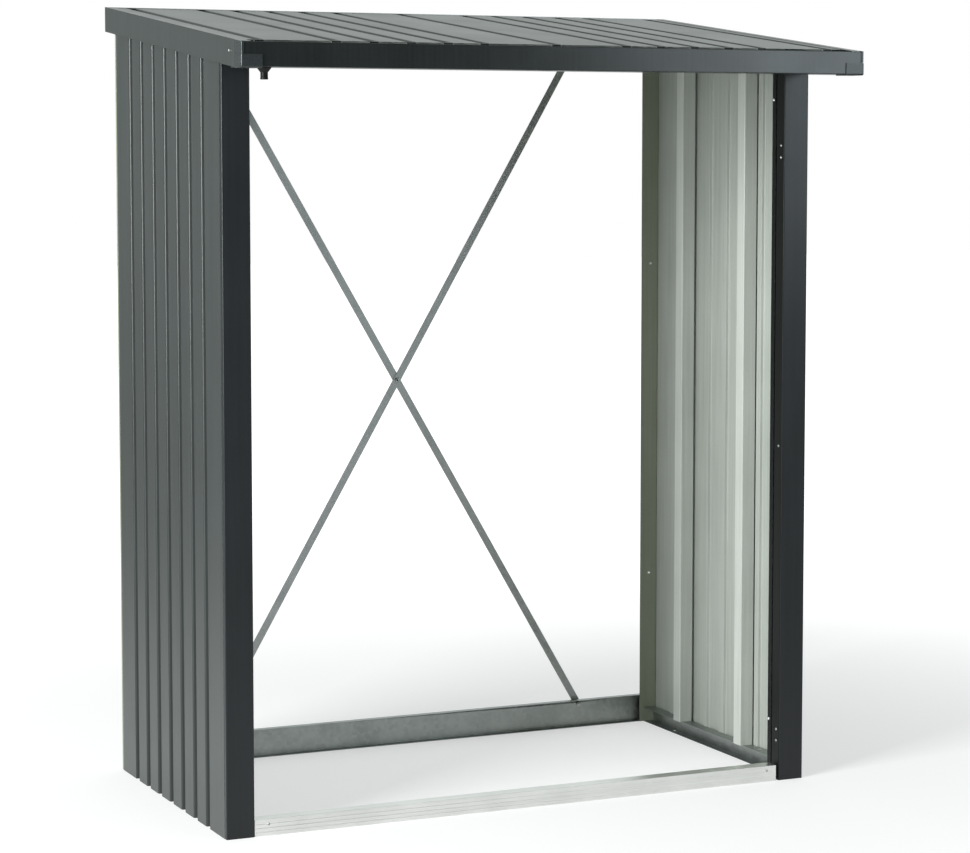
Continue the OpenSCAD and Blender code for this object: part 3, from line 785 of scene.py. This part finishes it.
for side, sign in (("left", -1), ("right", 1)):
    cover = bmesh.new()
    base = cover.faces.new([cover.verts.new((sign * x, gutter_low.y + y, cap_high.z + COVER_GAP))
                            for x, y in plan])
    grown = bmesh.ops.extrude_face_region(cover, geom=[base])["geom"]
    for vert in (v for v in grown if isinstance(v, bmesh.types.BMVert)):
        vert.co.z = gutter_high.z + roof_slope * max(vert.co.y - gutter_low.y, 0)
    bmesh.ops.recalc_face_normals(cover, faces=cover.faces)
    corner = [e for e in cover.edges if all(on_front_corner(v) for v in e.verts)
              and abs(e.verts[0].co.z - e.verts[1].co.z) > TALL_EDGE]
    bmesh.ops.bevel(cover, geom=corner, offset=COVER_R, offset_type="OFFSET", segments=6,
                    profile=0.5, affect="EDGES", material=-1)
    piece = finished(cover, "corner_cover_" + side, [cap_plastic])
    print(piece.name, "rounded corners", len(corner), "faces", len(piece.data.polygons))
print("cover", round(cover_depth, 4), "m deep")

# %% [markdown]
# ## Floor
# The store stands on a plain pale floor in front of an endless white background. A lit floor alone
# would go grey with distance, so for the camera it also glows, and the glow grows to pure white
# away from the store. In mirrored rays it glows less with distance, so the paint stays dark.

# %% Pale floor
# In metres: the glow starts to grow one metre from the middle and is full at four and a half.
FLOOR_REACH, NEAR_FLOOR, FAR_FLOOR = 30, 1.0, 4.5


def ray_kinds(tree):
    """Two sockets that are 1 for a ray straight from the camera, and for a mirrored one."""
    path = add_node(tree, "LightPath")
    mirrored = add_node(tree, "Math", {"operation": "ADD"},
                        {0: path.outputs["Is Glossy Ray"], 1: path.outputs["Is Transmission Ray"]})
    return path.outputs["Is Camera Ray"], mirrored.outputs[0]


def pale_floor():
    """A matt floor that glows to white for the camera, and dimly in reflections."""
    material, tree, place = new_material("pale_floor")
    from_camera, mirrored = ray_kinds(tree)
    away = add_node(tree, "VectorMath", {"operation": "LENGTH"}, {0: place}).outputs["Value"]
    span = {"From Min": NEAR_FLOOR, "From Max": FAR_FLOOR, "To Min": 0.5}
    white = add_node(tree, "MapRange",
                     {**span, "To Max": 1.0, "interpolation_type": "SMOOTHSTEP"}, {"Value": away})
    dim = add_node(tree, "MapRange", {**span, "To Max": 0.12}, {"Value": away})
    image = add_node(tree, "Math", {"operation": "MULTIPLY"}, {0: mirrored, 1: dim.outputs[0]})
    lift = add_node(tree, "Math", {"operation": "MULTIPLY_ADD"},
                    {0: from_camera, 1: white.outputs[0], 2: image.outputs[0]})
    matt = add_node(tree, "BsdfDiffuse", {"Color": (0.55, 0.55, 0.55, 1)})
    glow = add_node(tree, "Emission", {"Color": (1, 1, 1, 1)}, {"Strength": lift.outputs[0]})
    both = add_node(tree, "AddShader", {}, {0: matt.outputs[0], 1: glow.outputs[0]})
    add_node(tree, "OutputMaterial", {}, {"Surface": both.outputs[0]})
    return material


floor = bmesh.new()
bmesh.ops.create_grid(floor, x_segments=1, y_segments=1, size=FLOOR_REACH)
floor_mesh = bpy.data.meshes.new("studio_floor")
floor.to_mesh(floor_mesh)
floor.free()
floor_mesh.materials.append(pale_floor())
floor_object = bpy.data.objects.new("studio_floor", floor_mesh)
bpy.context.scene.collection.objects.link(floor_object)
print("floor", floor_object.name)

# %% [markdown]
# ## Surround and lamps
# The light is soft: a pale surround that is brighter behind the store and dim in front of it, a
# large key light from the left, and a wide softbox on the right that grades the reflection along
# the fascia. The surround is pure white to the camera, and its true light is slightly green, which
# the grey paint and the zinc pick up.

# %% Surround
def studio_surround():
    """A world that is white to the camera, bright behind the store and dim in front of it."""
    world = bpy.data.worlds.new("studio")
    world.use_nodes = True
    tree = world.node_tree
    tree.nodes.clear()
    direction = add_node(tree, "TexCoord")
    parts = add_node(tree, "SeparateXYZ", {}, {0: direction.outputs["Generated"]})
    turn = add_node(tree, "Math", {"operation": "MULTIPLY_ADD", 1: 0.75},
                    {0: parts.outputs["X"], 2: parts.outputs["Y"]})
    behind = add_node(tree, "MapRange", {"From Min": 0.35, "From Max": 1.15, "To Min": 0.12,
                                         "To Max": 0.88, "interpolation_type": "SMOOTHSTEP"},
                      {"Value": turn.outputs[0]})
    above = add_node(tree, "MapRange", {"From Min": 0.1, "From Max": 0.9, "To Min": 0.0,
                                        "To Max": 0.35}, {"Value": parts.outputs["Z"]})
    light = add_node(tree, "Math", {"operation": "ADD"},
                     {0: behind.outputs[0], 1: above.outputs[0]})
    from_camera, mirrored = ray_kinds(tree)
    seen = add_node(tree, "Math", {"operation": "MULTIPLY_ADD", 1: 0.2},
                    {0: mirrored, 2: from_camera})
    strength = add_node(tree, "Math", {"operation": "MAXIMUM"},
                        {0: seen.outputs[0], 1: light.outputs[0]})
    tint = add_node(tree, "Mix", {"data_type": "RGBA", 6: (0.94, 1, 0.98, 1), 7: (1, 1, 1, 1)},
                    {0: from_camera})
    sky = add_node(tree, "Background", {},
                   {"Color": tint.outputs[2], "Strength": strength.outputs[0]})
    add_node(tree, "OutputWorld", {}, {"Surface": sky.outputs[0]})
    return world


bpy.context.scene.world = studio_surround()
print("surround", bpy.context.scene.world.name)

# %% Lamps
def softbox(name, place, target, size, power, tint):
    """A rectangular lamp of that (width, height) that looks at a point."""
    lamp = bpy.data.lights.new(name, "AREA")
    lamp.shape = "RECTANGLE"
    lamp.size, lamp.size_y = size
    lamp.energy = power
    lamp.color = tint
    box = bpy.data.objects.new(name, lamp)
    bpy.context.scene.collection.objects.link(box)
    box.location = place
    box.rotation_euler = (Vector(target) - Vector(place)).to_track_quat("-Z", "Y").to_euler()
    return box


softbox("key_left", place=(-5.8, -2.6, 2.3), target=(0, 0, 1.1), size=(2.4, 2.9), power=610,
        tint=(0.97, 1.0, 0.99))
softbox("grade_right", place=(4.6, -6.2, 2.15), target=(0.5, -0.6, 1.8), size=(2.6, 1.4), power=74,
        tint=(0.84, 0.95, 1.0))

# %% [markdown]
# ## Camera
# A long lens from the front left, a little below the roof, with a small shift so that the
# uprights stay nearly parallel. The Standard view transform keeps the paint's hex values and the
# white background as they are.

# %% Camera
SENSOR_MM, LENS_MM, LENS_SHIFT = 36, 102.8115, -0.05
PITCH, YAW = math.radians(90 - 4.730), math.radians(-24.499)
camera = bpy.data.cameras.new("camera")
camera.sensor_width = SENSOR_MM
camera.lens = LENS_MM
camera.shift_y = LENS_SHIFT
camera.clip_end = 200
eye = bpy.data.objects.new("camera", camera)
bpy.context.scene.collection.objects.link(eye)
eye.location = (-2.8541, -6.4177, 1.6025)
eye.rotation_euler = (PITCH, 0, YAW)
bpy.context.scene.camera = eye
bpy.context.scene.view_settings.view_transform = "Standard"
print("lens", round(camera.lens, 2), "mm")
